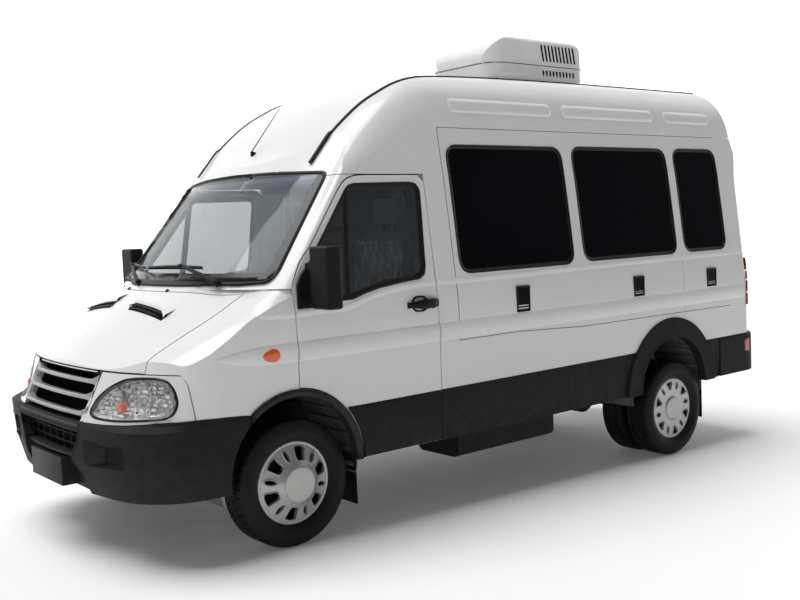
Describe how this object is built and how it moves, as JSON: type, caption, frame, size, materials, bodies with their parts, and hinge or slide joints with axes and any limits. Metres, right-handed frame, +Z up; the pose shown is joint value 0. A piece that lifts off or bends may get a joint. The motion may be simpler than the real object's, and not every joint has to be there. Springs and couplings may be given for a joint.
{
  "type": "mobile clinic van",
  "caption": "High-roof van fitted out as a mobile clinic, with roof air conditioner, dark side windows, twin rear wheels, opening doors, bonnet and steering",
  "frame": {"origin": "centre of the bounding box on the ground the tyres stand on", "axes": "+Z up, the van faces -Y, its left side is +X"},
  "size_m": [2.47, 5.4596, 3.0852],
  "materials": {
    "white_paint": "gloss",
    "silver_trim": "gloss",
    "lamp_glass": "gloss",
    "red_lamp": "gloss",
    "tinted_glass": "gloss",
    "windscreen_glass": "gloss",
    "black_plastic": "satin",
    "charcoal_plastic": "satin",
    "white_plastic": "gloss",
    "black_steel": "satin",
    "cast_metal": "rough",
    "underbody": "matt",
    "exhaust_steel": "dull",
    "flap_rubber": "matt",
    "grey_plastic": "matt",
    "seat_cloth": "woven",
    "wiper_black": "satin",
    "tyre_rubber": "matt",
    "wheel_silver": "satin"
  },
  "bodies": {
    "body": {"left_side_panel": "white_paint", "right_side_panel": "white_paint", "sliding_door": "white_paint", "roof": "white_paint", "windscreen_frame": "white_paint", "front_wings": "white_paint", "front_panel": "white_paint", "grille": "silver_trim", "headlamps": "lamp_glass", "tail_lamps": "red_lamp", "side_windows": "tinted_glass", "windscreen": "windscreen_glass", "front_bumper": "charcoal_plastic", "rear_bumper": "charcoal_plastic", "side_cladding": "charcoal_plastic", "roof_air_conditioner": "white_plastic", "chassis_frame": "black_steel", "engine_block": "cast_metal", "radiator": "cast_metal", "floor_pan": "underbody", "fuel_tank": "black_steel", "exhaust": "exhaust_steel", "propshaft": "black_steel", "mud_flaps": "flap_rubber", "dashboard": "grey_plastic", "steering_wheel": "black_plastic", "front_seats": "seat_cloth", "wipers": "wiper_black", "front_suspension": "black_steel", "rear_axle": "black_steel", "leaf_springs": "black_steel"},
    "bonnet": {"bonnet": "white_paint"},
    "left_front_door": {"left_front_door": "white_paint", "left_door_window": "tinted_glass", "left_mirror": "black_plastic"},
    "right_front_door": {"right_front_door": "white_paint", "right_door_window": "tinted_glass", "right_mirror": "black_plastic"},
    "left_rear_door": {"left_rear_door": "white_paint", "left_rear_window": "tinted_glass"},
    "right_rear_door": {"right_rear_door": "white_paint", "right_rear_window": "tinted_glass"},
    "left_knuckle": {"left_knuckle": "cast_metal"},
    "right_knuckle": {"right_knuckle": "cast_metal"},
    "left_front_wheel": {"left_front_tyre": "tyre_rubber", "left_front_wheel": "wheel_silver"},
    "right_front_wheel": {"right_front_tyre": "tyre_rubber", "right_front_wheel": "wheel_silver"},
    "left_rear_wheels": {"left_rear_tyres": "tyre_rubber", "left_rear_wheels": "wheel_silver"},
    "right_rear_wheels": {"right_rear_tyres": "tyre_rubber", "right_rear_wheels": "wheel_silver"}
  },
  "joints": [
    {"name": "bonnet_hinge", "type": "hinge", "parent": "body", "child": "bonnet", "pos_m": [0, -1.92821, 1.39538], "axis": [-1, 0, 0], "range_deg": [0, 45]},
    {"name": "left_front_door_hinge", "type": "hinge", "parent": "body", "child": "left_front_door", "pos_m": [1.0015, -1.76817, 1.20017], "axis": [0, 0.0305, -0.9995], "range_deg": [0, 70]},
    {"name": "right_front_door_hinge", "type": "hinge", "parent": "body", "child": "right_front_door", "pos_m": [-1.0015, -1.76817, 1.20017], "axis": [0, -0.0305, 0.9995], "range_deg": [0, 70]},
    {"name": "left_rear_door_hinge", "type": "hinge", "parent": "body", "child": "left_rear_door", "pos_m": [0.788, 2.60357, 1.37376], "axis": [0, 0.0305, -0.9995], "range_deg": [0, 180]},
    {"name": "right_rear_door_hinge", "type": "hinge", "parent": "body", "child": "right_rear_door", "pos_m": [-0.788, 2.60357, 1.37376], "axis": [0, -0.0305, 0.9995], "range_deg": [0, 180]},
    {"name": "left_steer", "type": "hinge", "parent": "body", "child": "left_knuckle", "pos_m": [0.79, -1.75552, 0.345], "axis": [0, 0, 1], "range_deg": [-34, 34]},
    {"name": "right_steer", "type": "hinge", "parent": "body", "child": "right_knuckle", "pos_m": [-0.79, -1.75552, 0.345], "axis": [0, 0, 1], "range_deg": [-34, 34]},
    {"name": "left_front_wheel_spin", "type": "hinge", "parent": "left_knuckle", "child": "left_front_wheel", "pos_m": [0.848, -1.75552, 0.345], "axis": [1, 0, 0], "continuous": true},
    {"name": "right_front_wheel_spin", "type": "hinge", "parent": "right_knuckle", "child": "right_front_wheel", "pos_m": [-0.848, -1.75552, 0.345], "axis": [1, 0, 0], "continuous": true},
    {"name": "left_rear_wheels_spin", "type": "hinge", "parent": "body", "child": "left_rear_wheels", "pos_m": [0.77, 1.55448, 0.345], "axis": [1, 0, 0], "continuous": true},
    {"name": "right_rear_wheels_spin", "type": "hinge", "parent": "body", "child": "right_rear_wheels", "pos_m": [-0.77, 1.55448, 0.345], "axis": [1, 0, 0], "continuous": true}
  ],
  "couplings": [
    {"joint": "right_steer", "follows": "left_steer", "ratio": 1}
  ]
}
